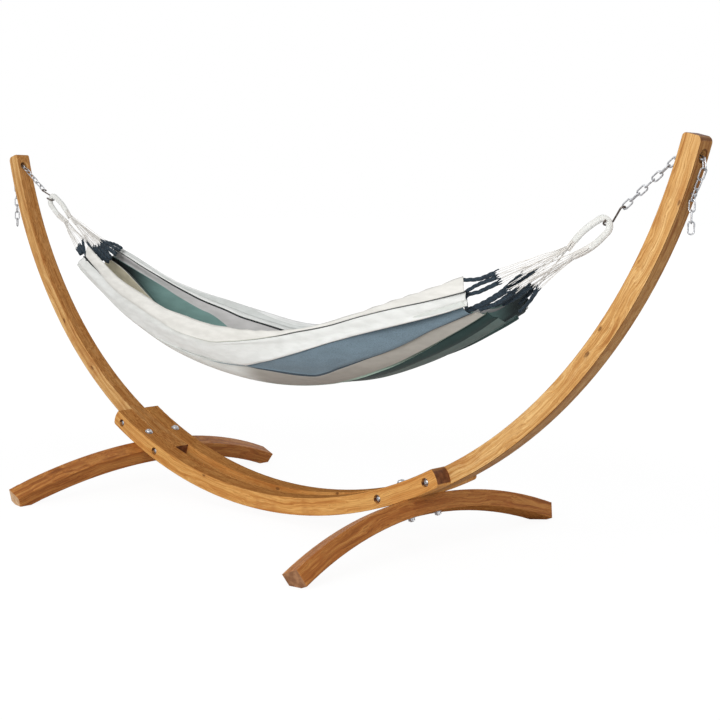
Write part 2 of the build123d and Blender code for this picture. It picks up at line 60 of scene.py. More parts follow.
LEVEL, UPRIGHT = np.array((0.0, 1.0, 0.0)), np.array((0.0, 0.0, 1.0))

# Bowed beams: arc centres and radii, as in part.py
BOW_CENTRE = Vector((0, 0, 1.7567))
BOW_RADIUS = 1.672
TIP_CENTRE_X = 0.05585
TIP_CENTRE_Z = 1.6316
TIP_RADIUS = 1.535
BEAM_DEPTH = 0.0585
FOOT_SLOPE = radians(22.17)
FOOT_RADIUS = 1.557
FOOT_CROWN = 0.0029

# Rope end loops: middle of the rope in the hook, and how far the loop points below level
LOOP_APEX = {"left": (-1.34246, 1.07219), "right": (1.31053, 1.0199)}
LOOP_FALL = {"left": radians(35), "right": radians(36.5)}
LOOP_BEND = 0.022
LOOP_LENGTH = 0.15
LOOP_LEG_OFFSET = 0.0135
LOOP_LEG_GAP = 0.0125
LOOP_BULGE = 0.008
LOOP_LEG_SHARE = 0.94
LOOP_BEND_POINTS, LOOP_LEG_POINTS = 25, 9
ROPE_RADIUS = 0.0097

# Thread bound round the rope from one share of its run to another, over loose strands
THREAD_RADIUS = 0.0012
THREAD_PITCH = 1.5 * THREAD_RADIUS
STEPS_A_TURN = 14
BINDING_START, BINDING_END = 0.10, 0.80
LOOSE_STRANDS = 26
LOOSE_RADIUS = 0.0014

# Headings: plaited strands that end in short fingers, with one clew cord from each finger
HEADING_STRANDS = 3
HEADING_PITCH = 0.07
FINGER_LEANS = (-1, 0, 1)

# Clew cords: share of them that cross to the loop's other leg, shares of the loop's length
# at which they go into its legs, and their twist
CROSSING_SHARE = {"left": 0.0, "right": 0.25}
UPPER_ENTRY, LOWER_ENTRY = 0.78, 0.66
CORD_STRANDS = 2
CORD_PITCH = 0.010
CORD_STRAND_OFFSET, CORD_STRAND_RADIUS = 0.00065, 0.00075

# Cloth trough: lowest line, reach and sections, as in part.py
CLOTH_LOW = (-0.030, 0.444)
CLOTH_BEND = 0.275
CLOTH_REACH = (-1.080, 0.977)
HALF_WIDTH = 0.145
END_HALF_WIDTH = (0.070, 0.085)
SAG = 0.199
END_SAG = 0.153

# The cloth's left end is drawn up by this much, past one share of the length and over another
LEFT_RISE = 0.030
LEFT_RISE_START, LEFT_RISE_RUN = 0.45, 0.5

# Sheet: its thickness and how finely it is divided
SHEET_THICKNESS = 0.0014
SHEET_COLUMNS = 301
STEPS_A_STRIPE = 8
STRIPE_EDGE = 0.0001

# Small wrinkles: how many, and the range of each one's waves round the trough, waves along it,
# height and phase
WRINKLES = 9
WRINKLE_LEAST = (9, -9, 0.0002, 0)
WRINKLE_MOST = (34, 9, 0.0006, 2 * pi)

# Table of the angles round the trough, a little longer than the cloth
WALL_REACH = 1.06
WALL_COLUMNS, WALL_ROWS = 213, 361

# Where a rim is folded over: the run that the fold eases in over, and how far out it lies
FOLD_EASE = 0.014
NEAR_FOLD, FAR_FOLD = -0.012, 0.006

# Camera and lights
CAMERA_PLACE = (3.3116, -3.0841, 1.0627)
CAMERA_TURNS = (43.435, 6.705, 0.51)
CAMERA_LENS = 66.6
CAMERA_SENSOR = 36
WHITE = (1, 1, 1, 1)
SURROUNDINGS = 0.55
FLOOR_HALF = 60.0
FLOOR_COLOUR = (0.82, 0.82, 0.82, 1)
FLOOR_GLOW = 1.06
FLOOR_FADE = {"From Min": 1.5, "From Max": 6.0, "To Min": 0.88, "To Max": 1.0}


def srgb(red, green, blue):
    """Linear colour of a display colour given from 0 to 255."""
    parts = (channel / 255 for channel in (red, green, blue))
    return (*(part / 12.92 if part <= 0.04045 else ((part + 0.055) / 1.055) ** 2.4 for part in parts), 1)


class Nodes:
    """Short hand for building a tree of shader nodes."""

    def __init__(self, tree):
        self.tree = tree

    def node(self, kind, inputs, **settings):
        made = self.tree.nodes.new("ShaderNode" + kind)
        for key, value in settings.items():
            setattr(made, key, value)
        for key, value in inputs.items():
            self.set(made.inputs[key], value)
        return made

    def set(self, socket, value):
        if isinstance(value, bpy.types.NodeSocket):
            self.tree.links.new(value, socket)
        else:
            socket.default_value = value

    def place(self):
        """Place on the object, in metres."""
        return self.node("TexCoord", {}).outputs["Object"]

    def math(self, operation, *values, clamp=False):
        inputs = dict(enumerate(values))
        return self.node("Math", inputs, operation=operation, use_clamp=clamp).outputs[0]

    def vector(self, operation, *values, output=0):
        inputs = dict(enumerate(values))
        return self.node("VectorMath", inputs, operation=operation).outputs[output]

    def dot(self, first, second):
        return self.vector("DOT_PRODUCT", first, second, output="Value")

    def combine(self, x, y, z):
        return self.node("CombineXYZ", {0: x, 1: y, 2: z}).outputs[0]

    def noise(self, place, scale, detail=2.0, roughness=0.5):
        inputs = {"Vector": place, "Scale": scale, "Detail": detail, "Roughness": roughness}
        return self.node("TexNoise", inputs).outputs["Fac"]

    def span(self, value, low, high, to_low=0.0, to_high=1.0):
        """Value from low to high, eased on to to_low to to_high."""
        inputs = {"Value": value, "From Min": low, "From Max": high, "To Min": to_low, "To Max": to_high}
        return self.node("MapRange", inputs, interpolation_type="SMOOTHSTEP").outputs[0]

    def mix(self, share, first, second, blend="MIX"):
        made = self.node("Mix", {}, data_type="RGBA", blend_type=blend)
        for index, value in ((0, share), (6, first), (7, second)):
            self.set(made.inputs[index], value)
        return made.outputs[2]

    def steps(self, value, stops, interpolation="LINEAR"):
        ramp = self.node("ValToRGB", {"Fac": value})
        ramp.color_ramp.interpolation = interpolation
        elements = ramp.color_ramp.elements
        while len(elements) < len(stops):
            elements.new(0.5)
        for element, (place, colour) in zip(elements, stops):
            element.position = place
            element.color = colour
        return ramp.outputs[0]

    def bump(self, height, distance, strength):
        inputs = {"Height": height, "Distance": distance, "Strength": strength}
        return self.node("Bump", inputs).outputs[0]


class Shader(Nodes):
    """One material, with its nodes."""

    def __init__(self, name):
        self.material = bpy.data.materials.new(name)
        self.material.use_nodes = True
        super().__init__(self.material.node_tree)
        self.surface = self.tree.nodes["Principled BSDF"]

    def finish(self, **inputs):
        for key, value in inputs.items():
            self.set(self.surface.inputs[key.replace("_", " ")], value)
        return self.material


# Each piece's wood: light, middle and dark tones, end grain, and knots as wood() takes them
BEAM_TONE = (srgb(232, 178, 104), srgb(212, 150, 80), srgb(172, 106, 46))
ARM_TONE = (srgb(238, 194, 130), srgb(216, 164, 98), srgb(172, 114, 58))
FOOT_TONE = (srgb(200, 138, 74), srgb(174, 108, 52), srgb(132, 76, 34))
# Share of painted shade on the arms' outer (convex) faces
ARM_PAINTED_SHADE = 0.6
# End grain of the beams and arms: darker end grain, deepened with painted shade
END_GRAIN_AND_PAINTED_SHADE = (srgb(96, 58, 38), srgb(128, 82, 54))
FOOT_ENDS = {
    "left": (srgb(196, 156, 116), srgb(226, 188, 146)),
    "right": (srgb(136, 94, 64), srgb(172, 126, 90)),
}
BEAM_KNOTS = {
    "front": ((-9.4, 6, -92, 7), (12.0, 26, -92, 4)),
    "rear": ((-0.9, 12, 31, 7), (9.0, 4, 31, 6)),
}
ARM_KNOTS = {
    "left": ((-48.0, 30, -30, 7), (-38.6, 28, -30, 7)),
    "right": ((51.3, 24, -30, 8), (54.4, 12, -30, 5), (69.3, 52, -30, 6)),
}
PORE_BROWN = srgb(96, 52, 20)
STAIN_BROWN = srgb(168, 96, 44)
# Painted shade: darker browns for the inner (concave) faces
HOLLOW_PAINTED_SHADES = (srgb(190, 130, 74), srgb(140, 86, 42))
# Colour multiplied in as painted shade on the arms' outer faces
OUTER_PAINTED_SHADE = srgb(168, 140, 108)
# Painted shade: dark line along the arms' rounded arris between the front and outer faces
ARRIS_PAINTED_SHADE = srgb(104, 62, 28)
KNOT_RING = srgb(150, 92, 44)
KNOT_HEART = srgb(86, 48, 24)


class Wood(Shader):
    """Oiled larch with its grain laid along an arc.

    The arc is (centre, swing, outward, radius) and turns from outward towards swing about its
    centre. The seed sets one piece's grain apart from another's.
    """

    def __init__(self, name, arc, seed):
        super().__init__(name)
        self.add, self.times = (partial(self.math, operation) for operation in ("ADD", "MULTIPLY"))
        self.centre, self.swing, self.outward, self.radius = arc
        self.across = self.swing.cross(self.outward)
        self.seed = seed
        from_centre = self.vector("SUBTRACT", self.place(), self.centre)
        self.ahead = self.dot(from_centre, self.swing)
        self.out = self.dot(from_centre, self.outward)
        self.along = self.times(self.math("ARCTAN2", self.ahead, self.out), self.radius)
        squares = (self.math("POWER", value, 2) for value in (self.ahead, self.out))
        self.depth = self.math("SUBTRACT", self.math("SQRT", self.add(*squares)), self.radius)
        self.side = self.dot(from_centre, self.across)

    def knot_mask(self, knots):
        """Mask of the knots, each twice as long as it is wide, from 0 outside to 1 inside.

        Knots are (slope in degrees, place outwards from the arc, place across, size), in mm.
        """
        mask = 0.0
        for slope, knot_depth, knot_side, size in knots:
            places = (
                (self.along, radians(slope) * self.radius, 0.5),
                (self.depth, knot_depth * MM, 1),
                (self.side, knot_side * MM, 1),
            )
            offsets = (
                self.times(self.math("SUBTRACT", value, middle), scale / (size * MM))
                for value, middle, scale in places
            )
            away = self.vector("LENGTH", self.combine(*offsets), output="Value")
            mask = self.math("MAXIMUM", mask, self.span(away, 1.6, 0.2))
        return mask

    def grain(self, tone, knot_mask):
        """Colour, fine streaks and pores of grain that wanders and bends round the knots."""
        stretched = self.combine(self.along, self.times(self.depth, 3), self.side)
        wander = self.noise(stretched, 4.0 + 0.3 * self.seed, 3)
        bend = self.add(wander, self.times(knot_mask, 0.12))
        depth = self.add(self.depth, self.times(bend, 0.05))
        side = self.add(self.side, self.times(bend, 0.035))
        start = self.add(self.along, 3.7 * self.seed)

        def streaks(length, thickness, detail):
            parts = ((start, length), (depth, thickness), (side, thickness * 1.4))
            drawn_out = self.combine(*(self.math("DIVIDE", value, size) for value, size in parts))
            return self.noise(drawn_out, 1.0, detail, 0.6)

        broad = streaks(0.55, 0.012, 4)
        fine = streaks(0.20, 0.0020, 4)
        pores = streaks(0.035, 0.0010, 2)
        rings = self.math("SINE", self.add(self.times(depth, 900), self.times(broad, 9)))
        stains = self.noise(self.combine(start, depth, side), 9.0, 4, 0.6)

        light, middle, dark = tone
        colour = self.steps(broad, ((0.32, dark), (0.46, middle), (0.62, light)))
        colour = self.mix(self.span(fine, 0.45, 0.66, 0, 0.6), colour, dark)
        colour = self.mix(self.span(fine, 0.42, 0.28, 0, 0.5), colour, light)
        colour = self.mix(self.span(rings, 0.1, 1.0, 0, 0.25), colour, dark)
        colour = self.mix(self.span(pores, 0.62, 0.74, 0, 0.55), colour, PORE_BROWN)
        colour = self.mix(self.span(stains, 0.5, 0.75, 0, 0.45), colour, STAIN_BROWN)
        return colour, fine, pores

    def facing(self):
        """How far a face looks out from the arc, and how far along it: 0 at end grain."""
        normal = self.node("NewGeometry", {}).outputs["Normal"]
        parts = ((self.ahead, self.swing), (self.out, self.outward))
        arms = (self.vector("MULTIPLY", self.combine(value, value, value), way) for value, way in parts)
        outward = self.dot(normal, self.vector("NORMALIZE", self.vector("ADD", *arms)))
        level = self.math("ABSOLUTE", self.dot(normal, self.across))
        return outward, self.add(self.math("ABSOLUTE", outward), level)


def wood(name, arc, seed, tone, ends, painted_outer_shade=0.0, knots=()):
    """Larch in a (light, middle, dark) tone, with end grain between the (dark, light) of ends."""
    shader = Wood(name, arc, seed)
    times = shader.times
    knot_mask = shader.knot_mask(knots)
    colour, fine, pores = shader.grain(tone, knot_mask)
    outward, long_grain = shader.facing()

    # Painted shade: the inner (concave) faces turn to darker browns
    inner_face = shader.span(outward, -0.45, -0.9)
    hollow_painted_shade = shader.mix(shader.span(fine, 0.35, 0.62), *HOLLOW_PAINTED_SHADES)
    colour = shader.mix(times(inner_face, 0.75), colour, hollow_painted_shade)
    # Painted shade: the outer (convex) face is darkened by a multiplied colour, as on the arms
    outer_face_painted_shade = shader.span(outward, 0.45, 0.75, 0, painted_outer_shade)
    colour = shader.mix(outer_face_painted_shade, colour, OUTER_PAINTED_SHADE, "MULTIPLY")
    # Painted shade: a dark line in the rounded arris next to the outer face, as on the arms
    painted_arris_shade = shader.span(outward, 0.3, 0.6, 0, 1.4 * painted_outer_shade)
    colour = shader.mix(times(painted_arris_shade, shader.span(outward, 0.98, 0.86)), colour, ARRIS_PAINTED_SHADE)

    blotches = shader.noise(shader.place(), 60.0, 3)
    end_colour = shader.mix(shader.span(blotches, 0.35, 0.7), *ends)
    colour = shader.mix(shader.span(long_grain, 0.55, 0.25), colour, end_colour)
    heart = shader.span(times(knot_mask, shader.span(blotches, 0.2, 0.6, 0.6, 1.2)), 0.6, 0.95)
    colour = shader.mix(times(knot_mask, 0.35), colour, KNOT_RING)
    colour = shader.mix(times(heart, 0.6), colour, KNOT_HEART)

    height = shader.math("SUBTRACT", fine, times(shader.span(pores, 0.6, 0.8), 0.6))
    return shader.finish(
        Base_Color=colour,
        Roughness=shader.span(fine, 0.3, 0.8, 0.42, 0.62),
        Specular_IOR_Level=shader.span(inner_face, 0.0, 1.0, 0.12, 0.0),
        Normal=shader.bump(height, 0.0006, 0.5),
    )


def steel(name, bright, dull, roughness):
    """Metal with cloudy plating and rubbed patches."""
    shader = Shader(name)
    place = shader.place()
    clouds = shader.noise(place, 260.0, 4, 0.6)
    scratches = shader.noise(shader.vector("MULTIPLY", place, (1.0, 3.0, 9.0)), 900.0, 2)
    colour = shader.mix(shader.span(clouds, 0.35, 0.7), bright, dull)
    return shader.finish(
        Base_Color=colour,
        Metallic=1.0,
        Roughness=shader.span(clouds, 0.3, 0.7, roughness, roughness + 0.18),
        Normal=shader.bump(scratches, 0.0002, 0.3),
    )


def yarn(name, light, dark, fuzz, rough=0.6):
    """Soft cotton yarn, with painted shade between its fibres."""
    shader = Shader(name)
    place = shader.place()
    tufts = shader.noise(place, 420.0, 3, 0.65)
    fibres = shader.noise(place, 1900.0, 3, 0.7)
    stains = shader.noise(place, 30.0, 2)
    colour = shader.mix(shader.span(tufts, 0.3, 0.65), dark, light)
    colour = shader.mix(shader.span(stains, 0.4, 0.8, 0, 0.35), colour, dark)
    height = shader.math("ADD", tufts, shader.math("MULTIPLY", fibres, 0.6))
    return shader.finish(
        Base_Color=colour,
        Roughness=0.92,
        Specular_IOR_Level=0.15,
        Sheen_Weight=fuzz,
        Sheen_Roughness=0.5,
        Normal=shader.bump(height, 0.0012, rough),
    )


def unit(vectors):
    return vectors / np.maximum(np.linalg.norm(vectors, axis=-1, keepdims=True), 1e-12)


def frames(points):
    """Tangent and two side directions along a line, turned as little as possible."""
    tangents = unit(np.gradient(points, axis=0))
    aside = np.empty_like(points)
    first = np.cross(tangents[0], LEVEL)
    if np.linalg.norm(first) < 0.1:
        first = np.cross(tangents[0], UPRIGHT)
    aside[0] = unit(first)
    for index in range(1, len(points)):
        kept = aside[index - 1] - tangents[index] * (aside[index - 1] @ tangents[index])
        aside[index] = unit(kept)
    return tangents, aside, np.cross(tangents, aside)


def distances(points):
    return np.r_[0, np.cumsum(np.linalg.norm(np.diff(points, axis=0), axis=1))]


def resample(points, step):
    """The same line with even steps, smoothed through its points."""
    points = np.asarray(points, float)
    run = distances(points)
    count = max(int(run[-1] / step), 4)
    places = np.linspace(0, run[-1], count + 1)
    return np.stack([smooth_values(run, points[:, axis], places) for axis in range(3)], axis=1)


def smooth_values(knots, values, places):
    """Cubic through the values without overshoot."""
    knots = np.asarray(knots, float)
    values = np.asarray(values, float)
    steps = np.diff(knots)
    rises = np.diff(values) / steps
    slopes = np.zeros_like(values)
    inner = rises[:-1] * rises[1:] > 0
    total = steps[:-1] + steps[1:]
    weights = (rises[:-1] * steps[1:] + rises[1:] * steps[:-1]) / total
    limit = 2 * np.minimum(abs(rises[:-1]), abs(rises[1:]))
    slopes[1:-1] = np.where(inner, np.clip(weights, -limit, limit), 0)
    slopes[0], slopes[-1] = rises[0], rises[-1]
    cell = np.clip(np.searchsorted(knots, places) - 1, 0, len(steps) - 1)
    share = (places - knots[cell]) / steps[cell]
    width = steps[cell]
    return (
        values[cell] * (1 + 2 * share) * (1 - share) ** 2
        + slopes[cell] * width * share * (1 - share) ** 2
        + values[cell + 1] * share**2 * (3 - 2 * share)
        + slopes[cell + 1] * width * share**2 * (share - 1)
    )


def eased(value):
    """Smooth step from 0 to 1."""
    value = np.clip(value, 0, 1)
    return value * value * (3 - 2 * value)


class Strands:
    """Round strands gathered into one mesh."""

    def __init__(self):
        self.points = []
        self.faces = []

    def add(self, line, radius, sides):
        line = np.asarray(line, float)
        radii = np.broadcast_to(np.asarray(radius, float), len(line))
        _, aside, beside = frames(line)
        turns = np.arange(sides)[:, None] * 2 * pi / sides
        ring = aside[:, None] * np.cos(turns) + beside[:, None] * np.sin(turns)
        start = sum(len(block) for block in self.points)
        self.points.append((line[:, None] + ring * radii[:, None, None]).reshape(-1, 3))
        for row in range(len(line) - 1):
            for column in range(sides):
                after = (column + 1) % sides
                here = start + row * sides
                ahead = here + sides
                self.faces.append((here + column, here + after, ahead + after, ahead + column))
        last = start + (len(line) - 1) * sides
        self.faces.append(tuple(start + column for column in reversed(range(sides))))
        self.faces.append(tuple(last + column for column in range(sides)))

    def make(self, name, material):
        mesh = bpy.data.meshes.new(name)
        mesh.from_pydata(np.concatenate(self.points).tolist(), [], self.faces)
        return add_object(name, mesh, material)


def add_object(name, mesh, material):
    mesh.polygons.foreach_set("use_smooth", [True] * len(mesh.polygons))
    mesh.materials.append(material)
    made = bpy.data.objects.new(name, mesh)
    bpy.context.scene.collection.objects.link(made)
    return made


def round_line(aside, beside, turn):
    """Directions square to a line, at the given turns round it."""
    return aside * np.cos(turn)[:, None] + beside * np.sin(turn)[:, None]


def twisted(line, count, offset, pitch, phase):
    """Lines of the strands that are laid round a line."""
    _, aside, beside = frames(line)
    run = distances(line)
    for index in range(count):
        turn = 2 * pi * (run / pitch + index / count) + phase
        yield line + offset * round_line(aside, beside, turn)


def loop_frame(name, side):
    """Middle of the rope in the hook, the loop's direction and the direction across it."""
    x, z = LOOP_APEX[name]
    fall = LOOP_FALL[name]
    ahead = np.array((-side * cos(fall), 0, -sin(fall)))
    up = np.array((-side * sin(fall), 0, cos(fall)))
    return np.array((x, 0, z)), ahead, up


def loop_line(name, side, step):
    """Middle of the rope from one leg's end round the hook to the other's."""
    apex, ahead, up = loop_frame(name, side)
    reach = (LOOP_LENGTH - LOOP_BEND, LOOP_LEG_OFFSET)
    angle = np.arccos(LOOP_BEND / hypot(*reach)) + atan(reach[1] / reach[0])
    turns = np.linspace(angle, 2 * pi - angle, LOOP_BEND_POINTS)
    bend = [(LOOP_BEND + LOOP_BEND * cos(turn), LOOP_BEND * sin(turn)) for turn in turns]
    leg = []
    for share in np.linspace(0, LOOP_LEG_SHARE, LOOP_LEG_POINTS):
        along = LOOP_LENGTH + (bend[0][0] - LOOP_LENGTH) * share
        apart = LOOP_LEG_GAP + (bend[0][1] - LOOP_LEG_GAP) * share + LOOP_BULGE * sin(pi * share)
        leg.append((along, apart))
    flat = [*leg, *bend, *((x, -y) for x, y in reversed(leg))]
    return resample([apex + ahead * x + up * y for x, y in flat], step)


def make_end_loop(name, side, rope, core):
    """Bundle of cords bound round and round into a firm loop, loose again at its two ends."""
    line = loop_line(name, side, THREAD_PITCH / STEPS_A_TURN)
    bound = line[int(len(line) * BINDING_START):int(len(line) * BINDING_END)]
    _, aside, beside = frames(bound)
    run = distances(bound)
    lumps = 1 + 0.03 * np.sin(run * 140) + 0.02 * np.sin(run * 390 + 1)
    reach = (ROPE_RADIUS - THREAD_RADIUS) * lumps
    offsets = round_line(aside, beside, 2 * pi * run / THREAD_PITCH)
    winding = Strands()
    winding.add(bound + reach[:, None] * offsets, THREAD_RADIUS, 5)
    inside = Strands()
    inside.add(bound[::20], ROPE_RADIUS - 0.9 * THREAD_RADIUS, 14)
    random = np.random.default_rng(5 + side)
    coarse = line[::40]
    _, aside, beside = frames(coarse)
    for index in range(LOOSE_STRANDS):
        reach = ROPE_RADIUS * (0.45 + 0.42 * (index % 3) / 2)
        turn = 2 * pi * index / LOOSE_STRANDS
        turn = turn + 0.5 * np.sin(distances(coarse) * 18 + 6 * random.random())
        inside.add(coarse + reach * round_line(aside, beside, turn), LOOSE_RADIUS, 5)
    return [winding.make(name + "_loop_binding", rope), inside.make(name + "_loop_core", core)]


# How far the rims stand above the mean trough: share of the length, then mm
NEAR_LIFT = (
    (-1, 20), (-0.88, 12), (-0.73, 3), (-0.6, 5), (-0.45, 1), (0.2, 0), (0.45, 9), (0.58, 17),
    (0.73, 22), (0.87, 18), (1, 9),
)
FAR_LIFT = (
    (-1, 10), (-0.9, 17), (-0.7, 13), (-0.55, 19), (-0.38, 26), (-0.2, 22), (0.05, 3), (0.5, -5),
    (0.8, -45), (0.93, -62), (1.04, -50),
)

# Lines of the cloth's stripes and folds from the near selvage to the far one. Each has a
# colour for the stripe after it, how far it reaches past the left and right ends in mm,
# and its run: share of the length, mm from its rim, mm outwards from the mean surface.
# A minus distance from a rim has passed over it to the other face.
NEAR_LINES = (
    ("selvage", (238, 236, 230), (0, -18), (
        (-1, -40, 0), (-0.6, -30, 0), (-0.1, -16, 0), (0.1, -24, 0), (0.3, -38, 0), (0.5, -36, 0),
        (0.7, -25, 0), (0.85, -12, 0), (1, -3, 0),
    )),
    ("line_top", (92, 94, 92), (-8, -24), (
        (-1, 50, 3), (-0.9, 51, 4), (-0.8, 53, 8), (-0.6, 50, 8), (-0.47, 50, 7), (-0.34, 60, 6),
        (-0.175, 60, 4), (-0.05, 45, 2), (0.06, 32, 1), (0.19, 18, 1), (0.32, 9, 2), (0.45, 11, 4),
        (0.575, 13, 6), (0.725, 23, 10), (0.855, 35, 14), (1, 45, 14),
    )),
    ("line_low", (238, 239, 236), (8, -24), (
        (-1, 61, -3), (-0.95, 58, -4), (-0.89, 53.5, -6), (-0.8, 54, -8), (-0.6, 51, -8),
        (-0.47, 51, -6), (-0.34, 61, -3), (-0.175, 62, 1), (-0.05, 47.3, 2), (0.06, 34.5, 1),
        (0.19, 20.6, 1), (0.32, 11.6, 2), (0.45, 13.6, 4), (0.575, 15.6, 6), (0.725, 25.6, 10),
        (0.855, 37.6, 14), (1, 47.6, 14),
    )),
    ("crease", (238, 239, 236), (20, -28), (
        (-1, 92, 2), (-0.6, 96, -4), (-0.34, 92, -2), (-0.175, 80, -1), (-0.03, 60, 0),
        (0.06, 52, -1), (0.19, 49, -4), (0.35, 48, -4), (0.5, 46, 0), (0.65, 50, 12),
        (0.85, 60, 19), (1, 66, 19),
    )),
    ("white_fold", (218, 221, 216), (38, -32), (
        (-1, 128, 4), (-0.85, 138, 2), (-0.65, 148, 0), (-0.45, 152, -2), (-0.2, 146, -4),
        (-0.03, 139, -5), (0.055, 118, -3), (0.14, 102, -2), (0.22, 86, 0), (0.3, 75, 2),
        (0.385, 67, 4), (0.47, 63, 7), (0.55, 64, 10), (0.625, 67, 14), (0.7, 71, 18),
        (0.835, 77, 23), (0.9, 79, 24), (1, 80, 22),
    )),
    # The stripe after white_back, under the white fold, is a darker slate: painted shade
    ("white_back", (100, 118, 130), (34, -60), (
        (-1, 127, 3), (-0.65, 147, -1), (-0.2, 145, -5), (-0.03, 138, -6), (0.14, 101, -3),
        (0.3, 73, 1), (0.47, 55, 4), (0.7, 52, 8), (0.85, 50, 9), (1, 52, 8),
    )),
    ("slate_top", (120, 139, 151), (34, -66), (
        (-1, 128.4, 3), (-0.65, 148.4, -1), (-0.2, 146.3, -5), (-0.03, 139.3, -6),
        (0.14, 102.3, -3), (0.3, 75, 0), (0.47, 60, 0), (0.6, 60, -6), (0.7, 62, -12),
        (0.85, 66, -16), (1, 70, -10),
    )),
    ("slate_low", (66, 76, 84), (32, -56), (
        (-1, 129, 2), (-0.65, 149, -2), (-0.2, 147, -6), (-0.1, 143, -7), (-0.035, 141, -8),
        (0.06, 146, -8), (0.11, 150, -8), (0.175, 159, -8), (0.25, 170, -7), (0.3, 176, -6),
        (0.35, 170, -5), (0.415, 158, -3), (0.475, 151, -1), (0.545, 146, 1), (0.66, 141, 3),
        (0.735, 133, 4), (0.81, 122, 4), (0.88, 117, 3), (0.935, 113, 2), (1, 108, 0),
    )),
    ("taupe_top", (168, 163, 155), (32, -48), (
        (-1, 130.5, 1), (-0.65, 150.5, -3), (-0.2, 149.5, -7), (-0.1, 145.5, -8),
        (-0.035, 143.5, -9), (0.06, 148.4, -9), (0.11, 152.4, -9), (0.175, 161.4, -9),
        (0.25, 172.4, -9), (0.3, 178.4, -9), (0.35, 172.4, -8), (0.415, 160.4, -6),
        (0.475, 153.4, -4), (0.545, 148.4, -3), (0.66, 143.4, -2), (0.735, 135.4, -2),
        (0.81, 124.4, -3), (0.88, 119.4, -4), (0.935, 115.4, -5), (1, 110.4, -6),
    )),
    ("taupe_low", (168, 192, 178), (8, -16), (
        (-1, 200, 0), (-0.6, 238, -4), (0, 262, -8), (0.3, 250, -6), (0.4, 228, -4), (0.54, 203, 1),
        (0.62, 194, 3), (0.7, 181, 4), (0.775, 168, 4), (0.85, 154, 4), (0.91, 143, 3), (1, 123, 2),
    )),
    ("mint_low", (40, 60, 58), (6, -10), (
        (-1, 204, 0), (-0.6, 243, -4), (0, 268, -8), (0.3, 258, -6), (0.4, 238, -4),
        (0.54, 213, -1), (0.62, 203, 0), (0.7, 190, 0), (0.775, 176, 0), (0.85, 160, -2),
        (0.91, 148, -4), (1, 127, -6),
    )),
    ("green_low", (96, 112, 108), (4, 0), (
        (-1, 220, 0), (-0.6, 262, -4), (0, 292, -8), (0.3, 286, -6), (0.54, 238, 0),
        (0.675, 216, 2), (0.77, 203, 2), (0.845, 191, 2), (0.91, 179, 0), (1, 157, -2),
    )),
    ("grey_low", (92, 122, 118), (0, 4), (
        (-1, 240, 0), (-0.6, 285, -4), (0, 325, -8), (0.3, 320, -6), (0.54, 300, 0), (0.77, 262, 0),
        (0.91, 240, 0), (1, 214, 0),
    )),
)
FAR_LINES = (
    # The stripe after ridge_foot, the ridge's face, is lightened to pale cream as painted light
    ("ridge_foot", (236, 226, 200), (0, 34), (
        (-1, 118, -2), (-0.8, 150, -4), (-0.6, 190, -4), (0, 200, -7), (0.5, 190, -2), (1, 150, 0),
    )),
    # The narrow stripe after ridge_top, along the ridge's top, is a painted cream highlight
    ("ridge_top", (226, 220, 202), (0, 36), (
        (-1, 62, -36), (-0.9, 74, -38), (-0.8, 100, -38), (-0.7, 130, -34), (-0.6, 165, -14),
        (-0.5, 180, -4), (0, 190, -6), (0.5, 180, -2), (1, 140, 0),
    )),
    ("ridge_edge", (98, 124, 120), (0, 36), (
        (-1, 59, -34), (-0.9, 71, -36), (-0.8, 97, -36), (-0.7, 127, -32), (-0.6, 162, -13),
        (-0.5, 177, -4), (0, 187, -6), (0.5, 177, -2), (1, 137, 0),
    )),
    ("teal_low", (126, 160, 156), (0, 38), (
        (-1, 62, 2), (-0.9, 74, 2), (-0.8, 94, 0), (-0.6, 150, 0), (0, 170, -4), (0.5, 150, -2),
        (0.8, 100, 0), (1, 70, 0),
    )),
    ("lilac_low", (206, 204, 204), (0, 40), (
        (-1, 48, 0), (-0.91, 50, 0), (-0.84, 48, 0), (-0.755, 46, 0), (-0.64, 55, 0),
        (-0.52, 68, 0), (-0.475, 71, 0), (-0.39, 92, 0), (-0.34, 108, 0), (-0.25, 130, 0),
        (0, 148, 0), (0.3, 130, 0), (0.6, 60, 0), (0.8, 8, 0), (0.9, -10, 0), (1, -18, 0),
    )),
    ("far_line_low", (44, 46, 48), (0, 40), (
        (-1, 16, -3), (-0.87, 21.6, -3), (-0.77, 19.6, -3), (-0.655, 23.6, -3), (-0.54, 33.6, -3),
        (-0.42, 41, -2), (-0.305, 49, -1), (-0.13, 49, -1), (0.3, 48, 0), (0.6, 24, 0),
        (0.8, -24, 0), (1, -46, 0),
    )),
    ("far_line_top", (250, 251, 250), (0, 40), (
        (-1, 12, -3), (-0.87, 17.2, -3), (-0.77, 15.2, -3), (-0.655, 19, -3), (-0.54, 28.8, -3),
        (-0.42, 35.6, -2), (-0.305, 43.4, -1), (-0.13, 43.4, -1), (0.3, 44, 0), (0.6, 20, 0),
        (0.8, -28, 0), (1, -50, 0),
    )),
    ("far_rim", (224, 227, 225), (0, 40), (
        (-1, 0, 0), (0.4, 0, 0), (0.6, -18, 0), (0.8, -50, 0), (1, -64, 0),
    )),
    ("far_selvage", (212, 216, 214), (0, 40), (
        (-1, 7, -5), (-0.8, 9, -5), (-0.6, 14, -5), (-0.4, 22, -5), (-0.2, 28, -5), (0, 28, -5),
        (0.4, 14, -5), (0.6, -30, 0), (0.8, -66, 0), (1, -80, 0),
    )),
)


